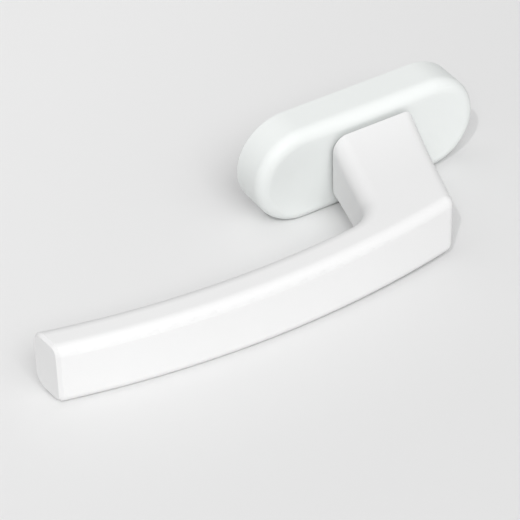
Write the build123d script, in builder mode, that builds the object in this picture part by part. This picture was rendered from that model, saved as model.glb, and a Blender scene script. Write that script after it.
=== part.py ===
from build123d import *
import os
from math import cos, radians, sin, sqrt

# A window handle: a cranked lever on a stadium-shaped rose, in the closed position.
# Lengths are millimetres. The origin is on the spindle axis, in the rose's mounting face.
# +Z is up, the grip hangs towards -Z, and "out" is the distance from the sash, along -Y.

# Rose cover
rose_length = 68.0
rose_width = 28.0
rose_height = 11.5
cover_edge_radius = 3.3
cover_wall = 1.8
cover_face = 1.9
cover_inner_chamfer = 1.0
bead_length = 8.0
bead_back_out = 6.3
bead_height = 0.55

# Fixing to the sash and to the spindle
screw_spacing = 43.0
screw_hole_radius = 2.9
screw_head_radius = 4.9
nose_radius = 5.0
nose_length = 6.0
nose_chamfer = 0.6
nose_shoulder = 0.3
sleeve_flange_radius = 6.2
sleeve_flange = 0.4
ear_thickness = 0.9
spindle_size = 7.0
socket_depth_out = 24.0

# Lever, side view
neck_out = 12.6
foot_low_z = -12.5
foot_high_z = 12.15
heel_z = 0.7
heel_radius = 2.8
bow_out = 54.0
bow_z = -50.0
bow_radius = 250.0
grip_thickness = 10.4
throat_z = -20.4
throat_radius = 10.0
end_z = -111.5
end_lean = 5.6
end_allowance = 6.0

# Lever, end view and edges
foot_width = 20.8
grip_width = 17.5
taper_out = 33.0
front_edge_radius = 2.7
back_edge_radius = 4.1
foot_edge_chamfer = 0.5
end_edge_chamfer = 0.8

# Journal, counted outwards from the mounting face
collar_radius = 8.5
journal_radius = 7.0
rear_journal_radius = 6.2
journal_end_out = 0.2
ring_back_out = 0.6
ring_thickness = 0.8
ring_radius = 8.0
ring_groove_depth = 0.6
ring_gap = 4.4
disc_spring_rise = 0.5
disc_spring_thickness = 0.3
disc_spring_radius = 7.8
back_disc_thickness = 1.0

# Detent: a square cam between two leaf springs
cam_thickness = 3.6
cam_seat_size = 11.2
cam_seat_corner_radius = 6.8
cam_size = 14.0
cam_corner_radius = 8.7
leaf_thickness = 0.4
leaf_width = 3.2
leaf_foot_run = 1.7
leaf_foot_rise = 0.9

# Base plate and bush
boss_height = 8.4
boss_gap = 0.45
boss_wall = 0.85
boss_lip_out = 6.8
bush_body_radius = 8.5
bush_flange = 1.0
bush_flange_step = 0.65

# Snap ring for the cover and spring clip for the spindle
snap_back_out = 6.95
snap_thickness = 0.35
snap_width = 0.8
snap_rise = 0.25
snap_gap = 9.0
clip_width = 2.6
clip_thickness = 0.3
clip_back_out = 5.0
clip_length = 13.0
clip_bow = 0.65
clip_groove_depth = 0.6

# Fits
running_fit = 0.03
guide_fit = 0.10
press_fit = 0.02
loose_fit = 0.30

# Sizes that follow from those above
ring_front_out = ring_back_out + ring_thickness
disc_back_out = ring_front_out + disc_spring_rise
disc_front_out = disc_back_out + back_disc_thickness
cam_back_out = disc_front_out + guide_fit
cam_front_out = cam_back_out + cam_thickness
bush_top_out = boss_height + bush_flange
boss_radius = rose_width / 2 - cover_wall - boss_gap
cavity_radius = boss_radius - boss_wall
snap_radius = boss_radius + snap_rise
snap_inner_radius = snap_radius - snap_width
ring_groove_radius = rear_journal_radius - ring_groove_depth
bush_bore_radius = journal_radius + running_fit
socket_size = spindle_size + guide_fit
clip_seat_z = socket_size / 2 + clip_groove_depth
bead_depth = boss_gap - guide_fit
plate_inset = 2 * (cover_wall + loose_fit)
bow_centre_out = bow_out - bow_radius
back_radius = bow_radius - grip_thickness
run_z = end_z - end_allowance

# Side view: local x is out and local y is z. End view: local x is x and local y is out.
side_view = Plane(origin=(0, 0, 0), x_dir=(0, -1, 0), z_dir=(-1, 0, 0))
end_view = Plane(origin=(0, 0, 0), x_dir=(1, 0, 0), z_dir=(0, 0, -1))
end_cut = Plane(
    origin=(0, -(bow_centre_out + sqrt(bow_radius**2 - (end_z - bow_z) ** 2)), end_z),
    x_dir=(1, 0, 0),
    z_dir=(0, -sin(radians(end_lean)), -cos(radians(end_lean))),
)


def at_out(distance):
    """The plane parallel to the mounting face at this distance out."""
    return Plane.XZ.offset(distance)


def bow(radius, z):
    """How far out an arc of this radius about the bow's centre stands at height z."""
    return bow_centre_out + sqrt(radius**2 - (z - bow_z) ** 2)


def along_lever(face):
    """Whether a face runs along the lever, square to its flat sides."""
    return abs(face.normal_at().X) < 0.01


# Lever: foot, neck and bowed grip in one casting, with collar, journal and spindle socket
with BuildPart() as lever:
    with BuildSketch(side_view) as profile:
        with BuildLine():
            Polyline(
                (bow(back_radius, throat_z), throat_z),
                (neck_out, foot_low_z),
                (neck_out, foot_high_z),
                (bow(bow_radius, heel_z), heel_z),
            )
            ThreePointArc(
                (bow(bow_radius, heel_z), heel_z),
                (bow_out, bow_z),
                (bow(bow_radius, run_z), run_z),
            )
            Line((bow(bow_radius, run_z), run_z), (bow(back_radius, run_z), run_z))
            ThreePointArc(
                (bow(back_radius, run_z), run_z),
                (bow_out - grip_thickness, bow_z),
                (bow(back_radius, throat_z), throat_z),
            )
        make_face()
        fillet(profile.vertices().sort_by_distance((bow(back_radius, throat_z), throat_z))[0], throat_radius)
        fillet(profile.vertices().sort_by_distance((bow(bow_radius, heel_z), heel_z))[0], heel_radius)
    extrude(amount=foot_width, both=True)
    with BuildSketch(end_view.offset(-foot_width)):
        with BuildLine():
            Line((grip_width / 2, bow_out + loose_fit), (grip_width / 2, taper_out))
            TangentArc((grip_width / 2, taper_out), (foot_width / 2, neck_out), tangent=(0, -1))
            Line((foot_width / 2, neck_out), (0, neck_out))
            Line((0, bow_out + loose_fit), (grip_width / 2, bow_out + loose_fit))
            Line((0, neck_out), (0, bow_out + loose_fit))
        make_face()
        mirror(about=Plane.YZ)
    extrude(amount=2 * foot_width - run_z, mode=Mode.INTERSECT)
    room_faces = lever.faces().filter_by(lambda f: along_lever(f) and f.normal_at().Y < -0.1)
    fillet(room_faces.edges().filter_by(Axis.X, reverse=True), front_edge_radius)
    sash_faces = lever.faces().filter_by(lambda f: along_lever(f) and f.normal_at().Y > 0.1)
    foot_face = lever.faces().sort_by(Axis.Y)[-1]
    sash_edges = sash_faces.edges().filter_by(Axis.X, reverse=True) - foot_face.edges()
    fillet(sash_edges, back_edge_radius)
    split(bisect_by=end_cut, keep=Keep.BOTTOM)
    chamfer(lever.faces().sort_by(Axis.Z)[0].edges(), end_edge_chamfer)
    chamfer(lever.faces().sort_by(Axis.Y)[-1].edges(), foot_edge_chamfer)
    with BuildSketch(at_out(bush_top_out)):
        Circle(collar_radius)
    extrude(amount=neck_out - bush_top_out)
    with BuildSketch(at_out(cam_front_out)):
        Circle(journal_radius)
    extrude(amount=bush_top_out - cam_front_out)
    with BuildSketch(at_out(cam_back_out)):
        Circle(cam_seat_corner_radius)
        Rectangle(cam_seat_size, cam_seat_size, mode=Mode.INTERSECT)
    extrude(amount=cam_thickness)
    with BuildSketch(at_out(journal_end_out)):
        Circle(rear_journal_radius)
    extrude(amount=cam_back_out - journal_end_out)
    with BuildSketch(at_out(ring_back_out)):
        Circle(rear_journal_radius + loose_fit)
        Circle(ring_groove_radius, mode=Mode.SUBTRACT)
    extrude(amount=ring_thickness, mode=Mode.SUBTRACT)
    with BuildSketch(at_out(journal_end_out)):
        Rectangle(socket_size, socket_size)
    extrude(amount=socket_depth_out - journal_end_out, mode=Mode.SUBTRACT)
    with BuildSketch(at_out(clip_back_out - loose_fit)):
        with Locations((0, clip_seat_z / 2)):
            Rectangle(clip_width + loose_fit, clip_seat_z)
    extrude(amount=clip_length + 2 * loose_fit, mode=Mode.SUBTRACT)

# Rose cover: a thin cap, open towards the sash, with a round hole for the lever's collar
with BuildPart() as rose_cover:
    with BuildSketch(at_out(0)):
        SlotOverall(rose_length, rose_width, rotation=90)
    extrude(amount=rose_height)
    fillet(rose_cover.faces().sort_by(Axis.Y)[0].edges(), cover_edge_radius)
    with BuildSketch(at_out(0)):
        SlotOverall(rose_length - 2 * cover_wall, rose_width - 2 * cover_wall, rotation=90)
    extrude(amount=rose_height - cover_face, mode=Mode.SUBTRACT)
    ceiling = rose_cover.faces().filter_by(Axis.Y).sort_by(Axis.Y)[1]
    chamfer(ceiling.edges(), cover_inner_chamfer)
    with BuildSketch(at_out(rose_height)):
        Circle(collar_radius + guide_fit)
    extrude(amount=-2 * cover_face, mode=Mode.SUBTRACT)
    with BuildSketch(at_out(bead_back_out)):
        with GridLocations(rose_width - 2 * cover_wall - bead_depth, 0, 2, 1):
            Rectangle(bead_depth, bead_length)
    extrude(amount=bead_height)

# Base plate: thin ears for the noses, and a round boss for the mechanism
with BuildPart() as base_plate:
    with BuildSketch(at_out(0)):
        SlotOverall(rose_length - plate_inset, rose_width - plate_inset, rotation=90)
    extrude(amount=ear_thickness)
    with BuildSketch(at_out(0)):
        Circle(boss_radius)
    extrude(amount=boss_height)
    with BuildSketch(at_out(0)):
        with GridLocations(0, screw_spacing, 1, 2):
            Circle(nose_radius + nose_shoulder + press_fit)
    extrude(amount=ear_thickness, mode=Mode.SUBTRACT)
    with BuildSketch(at_out(0)):
        Circle(cavity_radius)
    extrude(amount=boss_lip_out, mode=Mode.SUBTRACT)
    with BuildSketch(at_out(boss_lip_out)):
        Circle(bush_body_radius)
    extrude(amount=boss_height - boss_lip_out, mode=Mode.SUBTRACT)
    with BuildSketch(at_out(snap_back_out - guide_fit)):
        Circle(boss_radius + loose_fit)
        Circle(snap_inner_radius - guide_fit, mode=Mode.SUBTRACT)
    extrude(amount=snap_thickness + 2 * guide_fit, mode=Mode.SUBTRACT)

# Upper locating nose: a flanged sleeve through the ear, countersunk for the screw's head
with BuildPart() as nose_sleeve_upper:
    with BuildSketch(at_out(ear_thickness)):
        with Locations((0, screw_spacing / 2)):
            Circle(sleeve_flange_radius)
    extrude(amount=sleeve_flange)
    with BuildSketch(at_out(0)):
        with Locations((0, screw_spacing / 2)):
            Circle(nose_radius + nose_shoulder)
    extrude(amount=ear_thickness)
    with BuildSketch(at_out(0)):
        with Locations((0, screw_spacing / 2)):
            Circle(nose_radius)
    extrude(amount=-nose_length)
    chamfer(nose_sleeve_upper.faces().sort_by(Axis.Y)[-1].edges(), nose_chamfer)
    with Locations(at_out(ear_thickness + sleeve_flange)):
        with Locations((0, screw_spacing / 2)):
            CounterSinkHole(
                radius=screw_hole_radius,
                counter_sink_radius=screw_head_radius,
                depth=ear_thickness + sleeve_flange + nose_length,
                counter_sink_angle=90,
            )

# Lower locating nose
with BuildPart() as nose_sleeve_lower:
    mirror(nose_sleeve_upper.part, about=Plane.XY)

# Flanged bush in the boss's mouth: the lever's front bearing
with BuildPart() as bearing_bush:
    with BuildSketch(at_out(boss_lip_out)):
        Circle(bush_body_radius - press_fit)
    extrude(amount=boss_height - boss_lip_out)
    with BuildSketch(at_out(boss_height)):
        Circle(boss_radius - bush_flange_step)
    extrude(amount=bush_flange)
    with BuildSketch(at_out(boss_lip_out)):
        Circle(bush_bore_radius)
    extrude(amount=bush_top_out - boss_lip_out, mode=Mode.SUBTRACT)

# Square cam on the journal's square seat: it sets the stops every quarter turn
with BuildPart() as detent_cam:
    with BuildSketch(at_out(cam_back_out)):
        Circle(cam_corner_radius)
        Rectangle(cam_size, cam_size, mode=Mode.INTERSECT)
        with BuildSketch(mode=Mode.SUBTRACT):
            Circle(cam_seat_corner_radius + press_fit)
            Rectangle(cam_seat_size + 2 * press_fit, cam_seat_size + 2 * press_fit, mode=Mode.INTERSECT)
    extrude(amount=cam_thickness)

# Leaf spring above the cam, its feet turned out against the wall of the boss
leaf_z = cam_size / 2 + running_fit + leaf_thickness / 2
leaf_foot_x = sqrt((cavity_radius - leaf_thickness) ** 2 - (leaf_z + leaf_foot_rise) ** 2)
leaf_back_out = cam_back_out + (cam_thickness - leaf_width) / 2
with BuildPart() as leaf_spring_upper:
    with BuildSketch(at_out(leaf_back_out)):
        with BuildLine():
            Polyline(
                (-leaf_foot_x, leaf_z + leaf_foot_rise),
                (leaf_foot_run - leaf_foot_x, leaf_z),
                (leaf_foot_x - leaf_foot_run, leaf_z),
                (leaf_foot_x, leaf_z + leaf_foot_rise),
            )
        trace(line_width=leaf_thickness)
    extrude(amount=leaf_width)

# Leaf spring below the cam
with BuildPart() as leaf_spring_lower:
    mirror(leaf_spring_upper.part, about=Plane.XY)

# Disc pressed into the back of the boss: rear bearing, and floor for the detent
with BuildPart() as back_disc:
    with BuildSketch(at_out(disc_back_out)):
        Circle(cavity_radius - press_fit)
        Circle(rear_journal_radius + running_fit, mode=Mode.SUBTRACT)
    extrude(amount=back_disc_thickness)

# Conical disc spring: it draws the lever against the bush without play
with BuildPart() as disc_spring:
    with BuildSketch(side_view):
        Polygon(
            (ring_front_out, rear_journal_radius + guide_fit),
            (disc_back_out - disc_spring_thickness, disc_spring_radius),
            (disc_back_out, disc_spring_radius),
            (ring_front_out + disc_spring_thickness, rear_journal_radius + guide_fit),
            align=None,
        )
    revolve(axis=Axis.Y)

# Open retaining ring in the journal's groove
with BuildPart() as retaining_ring:
    with BuildSketch(at_out(ring_back_out)):
        Circle(ring_radius)
        Circle(ring_groove_radius + press_fit, mode=Mode.SUBTRACT)
        with Locations((0, -ring_radius)):
            Rectangle(ring_gap, 2 * (ring_radius - ring_groove_radius) + ring_gap, mode=Mode.SUBTRACT)
    extrude(amount=ring_thickness)

# Bowed spring clip in the socket: it grips the spindle
with BuildPart() as spindle_clip:
    with BuildSketch(side_view):
        with BuildLine():
            ThreePointArc(
                (clip_back_out, clip_seat_z - clip_thickness / 2 - press_fit),
                (clip_back_out + clip_length / 2, clip_seat_z - clip_thickness / 2 - clip_bow),
                (clip_back_out + clip_length, clip_seat_z - clip_thickness / 2 - press_fit),
            )
        trace(line_width=clip_thickness)
    extrude(amount=clip_width / 2, both=True)

# Open ring of flat wire in the boss's groove: it holds the cover down
with BuildPart() as snap_ring:
    with BuildSketch(at_out(snap_back_out)):
        Circle(snap_radius)
        Circle(snap_inner_radius, mode=Mode.SUBTRACT)
        with Locations((0, -snap_radius)):
            Rectangle(snap_gap, 4 * snap_width, mode=Mode.SUBTRACT)
    extrude(amount=snap_thickness)

lever.part.label = "lever"
rose_cover.part.label = "rose_cover"
base_plate.part.label = "base_plate"
nose_sleeve_upper.part.label = "nose_sleeve_upper"
nose_sleeve_lower.part.label = "nose_sleeve_lower"
bearing_bush.part.label = "bearing_bush"
detent_cam.part.label = "detent_cam"
leaf_spring_upper.part.label = "leaf_spring_upper"
leaf_spring_lower.part.label = "leaf_spring_lower"
back_disc.part.label = "back_disc"
disc_spring.part.label = "disc_spring"
retaining_ring.part.label = "retaining_ring"
spindle_clip.part.label = "spindle_clip"
snap_ring.part.label = "snap_ring"

os.makedirs("parts", exist_ok=True)
export_step(lever.part, "parts/lever.step")
export_step(rose_cover.part, "parts/rose_cover.step")
export_step(base_plate.part, "parts/base_plate.step")
export_step(nose_sleeve_upper.part, "parts/nose_sleeve_upper.step")
export_step(nose_sleeve_lower.part, "parts/nose_sleeve_lower.step")
export_step(bearing_bush.part, "parts/bearing_bush.step")
export_step(detent_cam.part, "parts/detent_cam.step")
export_step(leaf_spring_upper.part, "parts/leaf_spring_upper.step")
export_step(leaf_spring_lower.part, "parts/leaf_spring_lower.step")
export_step(back_disc.part, "parts/back_disc.step")
export_step(disc_spring.part, "parts/disc_spring.step")
export_step(retaining_ring.part, "parts/retaining_ring.step")
export_step(spindle_clip.part, "parts/spindle_clip.step")
export_step(snap_ring.part, "parts/snap_ring.step")
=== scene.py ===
from math import cos, radians, sin

import bmesh
import bpy
from mathutils import Matrix, Vector


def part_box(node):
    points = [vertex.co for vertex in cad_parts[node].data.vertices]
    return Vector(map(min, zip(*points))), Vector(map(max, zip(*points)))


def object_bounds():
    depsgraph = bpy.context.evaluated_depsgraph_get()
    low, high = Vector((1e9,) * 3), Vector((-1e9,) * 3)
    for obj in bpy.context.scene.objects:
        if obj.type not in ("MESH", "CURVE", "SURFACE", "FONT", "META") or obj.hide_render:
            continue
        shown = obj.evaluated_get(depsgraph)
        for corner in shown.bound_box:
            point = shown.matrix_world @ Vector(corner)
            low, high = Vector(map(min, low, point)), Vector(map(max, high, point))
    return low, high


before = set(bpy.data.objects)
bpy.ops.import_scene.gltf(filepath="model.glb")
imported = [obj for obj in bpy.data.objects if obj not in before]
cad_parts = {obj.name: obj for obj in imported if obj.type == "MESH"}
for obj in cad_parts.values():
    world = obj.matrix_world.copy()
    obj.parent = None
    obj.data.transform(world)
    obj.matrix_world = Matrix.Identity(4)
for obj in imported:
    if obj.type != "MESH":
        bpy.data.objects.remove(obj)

# A white window handle lying on its side on a pale table, under a soft studio light.
# Lengths are metres, in the part's own axes: +Z up the window, -Y out into the room.

cad_low, cad_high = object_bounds()
rose_low, rose_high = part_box("rose_cover")
MM = 0.001

# The camera: where it stands, which way the picture's right and top edges point, and its lens in mm
CAMERA_PLACE = Vector((-0.4078, -0.4692, -0.3075))
PICTURE_RIGHT = Vector((0.0182, -0.5247, 0.8511))
PICTURE_UP = Vector((-0.7788, 0.5264, 0.3412))
LENS = 180.0
SENSOR = 36.0

# The rose's edge and the grip's corner lie on the table, on the +X side
TABLE_CLEARANCE = 0.08 * MM
TABLE_POINT = Vector((rose_high.x + TABLE_CLEARANCE, -0.0082, -0.020))
TABLE_UP = Vector((-0.994, 0.107, 0.014)).normalized()
TABLE_SIZE = 6.0

# Painted shade on the table: its colour darkens along this direction of the studio, between these two
# distances from the rose, in place of the light falling off towards the picture's right
PAINTED_SHADE_DIRECTION = Vector((0.92, -0.39, 0))
SHADE_START = -0.13
SHADE_END = 0.07
PAINTED_LIT_PAPER = 0.85
PAINTED_SHADED_PAPER = 0.77

# How far the soft lights stand from the part, and how strong the pale room is
FAR = 6.0
NEAR = 1.0
ROOM_STRENGTH = 0.37

# Where the powder coat ends: at the plane behind the lever's foot, with a soft edge, and in the
# square socket and the hollow cover, with limits that lie just inside the metal. The dark bare metal
# behind the foot is also painted shade, darkening the gap between the foot and the cover
FOOT_BACK = -12.6 * MM
FOOT_BACK_EDGE = 0.02 * MM
SOCKET_REACH = 4.4 * MM
SOCKET_DEPTH = 24.2 * MM
COVER_WALL = 1.7 * MM
COVER_FACE = 1.8 * MM

# The coat: its colour on the lever and on the cover, its darkest patches' share of that, its sheen
WHITE_COAT = (0.815, 0.815, 0.815, 1.0)
COOL_COAT = (0.806, 0.83, 0.819, 1.0)
DARK_PATCH = 0.97
COAT_SHEEN = 0.34

# The metals' colours, and the stops of the springs' temper and of the plating's bloom
DULL_CASTING = (0.44, 0.44, 0.44, 1.0)
BARE_CASTING = (0.52, 0.53, 0.54, 1.0)
TEMPER_COLOURS = [
    (0.3, (0.34, 0.37, 0.42, 1.0)),
    (0.55, (0.42, 0.42, 0.42, 1.0)),
    (0.75, (0.46, 0.41, 0.34, 1.0)),
]
PLATING_COLOURS = [
    (0.35, (0.56, 0.60, 0.66, 1.0)),
    (0.5, (0.64, 0.65, 0.65, 1.0)),
    (0.68, (0.66, 0.63, 0.54, 1.0)),
]

# A Mix node's sockets for colours, by number because their names repeat
MIX_SHARE, MIX_FIRST, MIX_SECOND = 0, 6, 7
MIXED_COLOUR = 2


def studio_axes():
    """The studio's axes: x to the picture's right, y away from the viewer, z up from the table."""
    right = (PICTURE_RIGHT - TABLE_UP * PICTURE_RIGHT.dot(TABLE_UP)).normalized()
    away = TABLE_UP.cross(right)
    axes = Matrix((right, away, TABLE_UP)).transposed().to_4x4()
    axes.translation = TABLE_POINT
    return axes


STUDIO = studio_axes()


class Value:
    """A value or colour that varies over a surface, with plain arithmetic on it."""

    def __init__(self, shader, socket):
        self.shader = shader
        self.socket = socket

    def maths(self, operation, first, second):
        return self.shader.maths(operation, first, second)

    def __add__(self, other):
        return self.maths("ADD", self, other)

    def __radd__(self, other):
        return self.maths("ADD", other, self)

    def __sub__(self, other):
        return self.maths("SUBTRACT", self, other)

    def __rsub__(self, other):
        return self.maths("SUBTRACT", other, self)

    def __mul__(self, other):
        return self.maths("MULTIPLY", self, other)

    def __rmul__(self, other):
        return self.maths("MULTIPLY", other, self)

    def __abs__(self):
        return self.maths("ABSOLUTE", self, 0.0)

    def over(self, limit):
        """1 where the value is greater than the limit, else 0."""
        return self.maths("GREATER_THAN", self, limit)

    def under(self, limit):
        """1 where the value is less than the limit, else 0."""
        return self.maths("LESS_THAN", self, limit)

    def rise(self, low, high):
        """A soft step from 0 at low to 1 at high."""
        return self.shader.node(
            "ShaderNodeMapRange",
            {"interpolation_type": "SMOOTHSTEP"},
            {"Value": self, "From Min": low, "From Max": high},
        )


class Finish:
    """One material's shader: it makes the nodes and hands out what they give."""

    def __init__(self, name):
        self.material = bpy.data.materials.new(name)
        self.material.use_nodes = True
        self.tree = self.material.node_tree
        self.tree.nodes.clear()
        self.place = self.node("ShaderNodeTexCoord", out="Object")

    def node(self, kind, settings=None, inputs=None, out=0):
        """Makes a node, with its settings first and its sockets next, and gives one output."""
        made = self.tree.nodes.new(kind)
        for name, value in (settings or {}).items():
            if name == "stops":
                self.fill_ramp(made.color_ramp, value)
            else:
                setattr(made, name, value)
        for name, value in (inputs or {}).items():
            if isinstance(value, Value):
                self.tree.links.new(value.socket, made.inputs[name])
            else:
                made.inputs[name].default_value = value
        return Value(self, made.outputs[out])

    def maths(self, operation, first, second=0.0):
        """One Math node on one or two values."""
        return self.node("ShaderNodeMath", {"operation": operation}, {0: first, 1: second})

    def fill_ramp(self, ramp, stops):
        """Sets a colour ramp's stops from (place, colour) pairs."""
        while len(ramp.elements) < len(stops):
            ramp.elements.new(1.0)
        for element, (place, colour) in zip(ramp.elements, stops):
            element.position = place
            element.color = colour

    def stretched(self, along):
        """Object coordinates scaled by this much along each axis."""
        return self.node("ShaderNodeMapping", inputs={"Vector": self.place, "Scale": along})

    def along(self, direction):
        """How far the place lies along this direction, in metres."""
        return self.node(
            "ShaderNodeVectorMath",
            {"operation": "DOT_PRODUCT"},
            {0: self.place, 1: direction},
            out="Value",
        )

    def noise(self, grain, detail=2.0, roughness=0.5, place=None):
        """Noise from 0 to 1, with features about this many metres wide."""
        return self.node(
            "ShaderNodeTexNoise",
            inputs={
                "Vector": place or self.place,
                "Scale": 1.0 / grain,
                "Detail": detail,
                "Roughness": roughness,
            },
        )

    def pits(self, spacing, size):
        """Round spots this far apart, 1 inside and 0 outside, size as a share of the spacing."""
        distance = self.node(
            "ShaderNodeTexVoronoi",
            {"feature": "F1"},
            {"Vector": self.place, "Scale": 1.0 / spacing},
        )
        return 1.0 - distance.rise(size * 0.6, size)

    def axes(self):
        """The place's x, y and z as three values."""
        split = self.node("ShaderNodeSeparateXYZ", inputs={"Vector": self.place})
        return [Value(self, output) for output in split.socket.node.outputs]

    def mix(self, share, first, second):
        """The first colour where share is 0, the second where it is 1."""
        return self.node(
            "ShaderNodeMix",
            {"data_type": "RGBA"},
            {MIX_SHARE: share, MIX_FIRST: first, MIX_SECOND: second},
            out=MIXED_COLOUR,
        )

    def ramp(self, share, stops):
        """A colour that runs through these stops as share goes from 0 to 1."""
        return self.node("ShaderNodeValToRGB", {"stops": stops}, {"Fac": share}, out="Color")

    def bump(self, height, depth):
        """A normal from a height of 0 to 1 that is this many metres deep."""
        inputs = {"Height": height, "Distance": depth, "Strength": 1.0}
        return self.node("ShaderNodeBump", inputs=inputs)

    def close(self, shader):
        """Ends the tree in this shader and returns the material."""
        end = self.tree.nodes.new("ShaderNodeOutputMaterial")
        self.tree.links.new(shader.socket, end.inputs["Surface"])
        return self.material

    def principled(self, **sockets):
        """A Principled shader with these sockets, underscores for spaces."""
        inputs = {name.replace("_", " "): value for name, value in sockets.items()}
        return self.node("ShaderNodeBsdfPrincipled", inputs=inputs, out="BSDF")


def grey(level):
    """An even grey of this level."""
    return (level, level, level, 1.0)


def coated_casting(name, coat, bare_mask):
    """Powder coat on a casting: a soft orange peel, and bare metal where bare_mask says, which on the
    lever also paints shade in the gap under the foot.
    """
    finish = Finish(name)
    bare = bare_mask(finish)
    peel = finish.noise(1.6 * MM, detail=1.0)
    grain = finish.noise(0.25 * MM, detail=3.0)
    drift = finish.noise(28 * MM, detail=2.0)
    dark_coat = tuple(channel * DARK_PATCH for channel in coat[:3]) + (1.0,)
    paint = finish.mix(drift, dark_coat, coat)
    metal = finish.mix(grain, DULL_CASTING, BARE_CASTING)
    height = peel * 0.8 + grain * (0.12 + 0.5 * bare)
    return finish.close(
        finish.principled(
            Base_Color=finish.mix(bare, paint, metal),
            Roughness=0.50 + 0.06 * grain + 0.05 * drift - 0.08 * bare,
            Specular_IOR_Level=COAT_SHEEN,
            Metallic=bare,
            Normal=finish.bump(height, 0.012 * MM),
        )
    )


def lever_bare_and_gap_shade(finish):
    """The foot's back, the journal and the socket, which the coat doesn't reach; the dark metal on
    the foot's back is also painted shade in the gap under the foot.
    """
    x, y, z = finish.axes()
    # Painted shade: bare dark metal on the foot's back darkens the gap between foot and cover
    behind_foot = y.rise(FOOT_BACK - FOOT_BACK_EDGE, FOOT_BACK)
    socket = abs(x).under(SOCKET_REACH) * abs(z).under(SOCKET_REACH) * y.over(-SOCKET_DEPTH)
    return finish.maths("MAXIMUM", behind_foot, socket)


def cover_bare(finish):
    """The inside of the cover, where the coat is only patchy overspray."""
    x, y, z = finish.axes()
    past_centre = finish.maths("MAXIMUM", abs(z) - (rose_high.z - rose_high.x), 0.0)
    from_spine = finish.maths("SQRT", x * x + past_centre * past_centre)
    inside = y.over(rose_low.y + COVER_FACE) * from_spine.under(rose_high.x - COVER_WALL)
    patches = finish.noise(3.5 * MM, detail=4.0, roughness=0.6)
    return inside * patches.rise(0.42, 0.60)


def cast_metal():
    """The base plate's raw casting: fine sandy skin with faint flow marks."""
    finish = Finish("raw_casting")
    sand = finish.noise(0.35 * MM, detail=4.0, roughness=0.65)
    flow = finish.noise(5 * MM, detail=3.0, place=finish.stretched((1.0, 1.0, 0.25)))
    return finish.close(
        finish.principled(
            Base_Color=finish.mix(flow, (0.40, 0.41, 0.42, 1.0), (0.56, 0.57, 0.58, 1.0)),
            Metallic=0.9,
            Roughness=0.36 + 0.22 * sand,
            Normal=finish.bump(sand, 0.05 * MM),
        )
    )


def acetal():
    """The bush's moulded plastic: milky, with a fine satin skin."""
    finish = Finish("natural_acetal")
    skin = finish.noise(0.4 * MM, detail=3.0)
    cloud = finish.noise(6 * MM)
    return finish.close(
        finish.principled(
            Base_Color=finish.mix(cloud, (0.80, 0.79, 0.75, 1.0), (0.86, 0.86, 0.83, 1.0)),
            Roughness=0.36 + 0.12 * skin,
            Normal=finish.bump(skin, 0.01 * MM),
            Subsurface_Weight=0.15,
            Subsurface_Scale=1.0 * MM,
        )
    )


def sintered_steel():
    """The detent cam's pressed powder: dark, open-pored and slightly oily."""
    finish = Finish("sintered_steel")
    pores = finish.pits(0.28 * MM, 0.35)
    oil = finish.noise(4 * MM)
    return finish.close(
        finish.principled(
            Base_Color=finish.mix(pores, (0.24, 0.23, 0.22, 1.0), (0.10, 0.10, 0.10, 1.0)),
            Metallic=0.9,
            Roughness=0.52 - 0.14 * oil + 0.1 * pores,
            Normal=finish.bump(1.0 - pores, 0.04 * MM),
        )
    )


def spring_steel():
    """Hardened strip and wire: grey-blue with a trace of straw, and rolled lines."""
    finish = Finish("spring_steel")
    rolled = finish.noise(0.3 * MM, detail=3.0, place=finish.stretched((0.08, 1.0, 1.0)))
    temper = finish.noise(5 * MM)
    return finish.close(
        finish.principled(
            Base_Color=finish.ramp(temper, TEMPER_COLOURS),
            Metallic=1.0,
            Roughness=0.24 + 0.18 * rolled,
            Normal=finish.bump(rolled, 0.008 * MM),
        )
    )


def zinc_plate():
    """Bright zinc plating on the back disc and the sleeves, with a faint blue and yellow bloom."""
    finish = Finish("zinc_plate")
    bloom = finish.noise(6 * MM, detail=3.0)
    grain = finish.noise(0.2 * MM, detail=3.0)
    return finish.close(
        finish.principled(
            Base_Color=finish.ramp(bloom, PLATING_COLOURS),
            Metallic=1.0,
            Roughness=0.26 + 0.14 * grain,
            Normal=finish.bump(grain, 0.006 * MM),
        )
    )


def paint_nodes():
    """Gives every CAD node its finish."""
    spring = spring_steel()
    zinc = zinc_plate()
    finishes = {
        "lever": coated_casting("lever_coat", WHITE_COAT, lever_bare_and_gap_shade),
        "rose_cover": coated_casting("cover_coat", COOL_COAT, cover_bare),
        "base_plate": cast_metal(),
        "bearing_bush": acetal(),
        "detent_cam": sintered_steel(),
        "back_disc": zinc,
        "nose_sleeve_upper": zinc,
        "nose_sleeve_lower": zinc,
        "leaf_spring_upper": spring,
        "leaf_spring_lower": spring,
        "disc_spring": spring,
        "retaining_ring": spring,
        "spindle_clip": spring,
        "snap_ring": spring,
    }
    for name, material in finishes.items():
        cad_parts[name].material_slots[0].material = material


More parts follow.
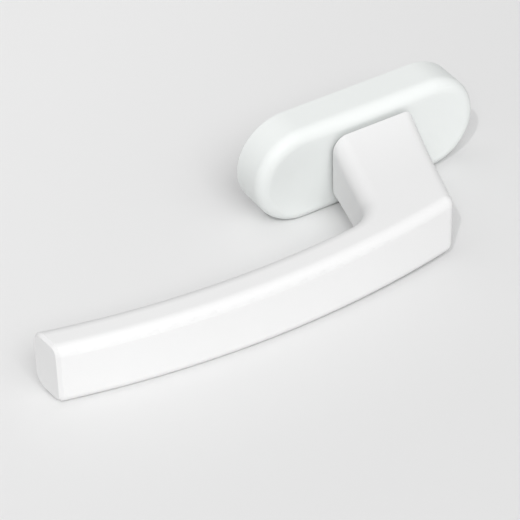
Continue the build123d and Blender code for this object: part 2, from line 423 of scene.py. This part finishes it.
def pale_paper():
    """The table's matt paper, seen from above only, with painted light and shade: a little lighter on
    the picture's left.
    """
    finish = Finish("pale_table")
    shadeward = STUDIO.to_3x3() @ PAINTED_SHADE_DIRECTION
    past_rose = finish.along(shadeward) - STUDIO.translation.dot(shadeward)
    cloud = finish.noise(120 * MM)
    # Painted shade: the paper's colour darkens towards the picture's right, with a little random tone
    # on top
    shade_and_tone = 0.85 * past_rose.rise(SHADE_START, SHADE_END) + 0.15 * cloud
    paper = finish.principled(
        Base_Color=finish.mix(shade_and_tone, grey(PAINTED_LIT_PAPER), grey(PAINTED_SHADED_PAPER)),
        Roughness=0.65 + 0.1 * cloud,
        Normal=finish.bump(finish.noise(0.4 * MM, detail=3.0), 0.01 * MM),
    )
    seen_from = finish.node("ShaderNodeNewGeometry", out="Backfacing")
    clear = finish.node("ShaderNodeBsdfTransparent")
    return finish.close(finish.node("ShaderNodeMixShader", inputs={0: seen_from, 1: paper, 2: clear}))


def table_top():
    """The table that the handle lies on, as a stage."""
    shape = bmesh.new()
    bmesh.ops.create_grid(shape, x_segments=1, y_segments=1, size=TABLE_SIZE / 2, matrix=STUDIO)
    mesh = bpy.data.meshes.new("table_top")
    shape.to_mesh(mesh)
    shape.free()
    mesh.materials.append(pale_paper())
    table = bpy.data.objects.new("table_top", mesh)
    bpy.context.collection.objects.link(table)


def softbox(name, height, bearing, distance, spread, power):
    """A round soft light, with its height above the table and its bearing in degrees.

    The bearing goes from the viewer's side to the right. The spread is the light's width as a
    share of its distance.
    """
    lamp = bpy.data.lights.new(name, "AREA")
    lamp.shape = "DISK"
    lamp.size = spread * distance
    lamp.energy = power
    light = bpy.data.objects.new(name, lamp)
    bpy.context.collection.objects.link(light)
    flat = distance * cos(radians(height))
    right = flat * sin(radians(bearing))
    away = -flat * cos(radians(bearing))
    light.location = STUDIO @ Vector((right, away, distance * sin(radians(height))))
    aim = (cad_low + cad_high) / 2 - light.location
    light.rotation_mode = "QUATERNION"
    light.rotation_quaternion = aim.to_track_quat("-Z", "Y")


def lights():
    """Soft lights from the viewer's side, a small one for the crisp shadows, and a pale room."""
    softbox("key_light", height=38, bearing=0, distance=FAR, spread=0.40, power=94.0)
    softbox("key_right", height=38, bearing=20, distance=FAR, spread=0.40, power=94.0)
    softbox("hard_light", height=42, bearing=351, distance=FAR, spread=0.012, power=66.0)
    softbox("right_light", height=43, bearing=42, distance=FAR, spread=0.50, power=29.0)
    softbox("high_light", height=60, bearing=20, distance=FAR, spread=0.60, power=12.0)
    softbox("back_left_light", height=60, bearing=225, distance=NEAR, spread=1.00, power=1.5)
    world = bpy.data.worlds.new("pale_room")
    world.use_nodes = True
    background = world.node_tree.nodes["Background"]
    background.inputs["Color"].default_value = grey(1.0)
    background.inputs["Strength"].default_value = ROOM_STRENGTH
    bpy.context.scene.world = world
    bpy.context.scene.view_settings.view_transform = "Standard"


def camera():
    """The photograph's viewpoint."""
    lens = bpy.data.cameras.new("photo_camera")
    lens.lens = LENS
    lens.sensor_width = SENSOR
    view = bpy.data.objects.new("photo_camera", lens)
    bpy.context.collection.objects.link(view)
    back = PICTURE_RIGHT.cross(PICTURE_UP)
    turn = Matrix((PICTURE_RIGHT, PICTURE_UP, back)).transposed().to_4x4()
    view.matrix_world = Matrix.Translation(CAMERA_PLACE) @ turn
    bpy.context.scene.camera = view


paint_nodes()
table_top()
lights()
camera()
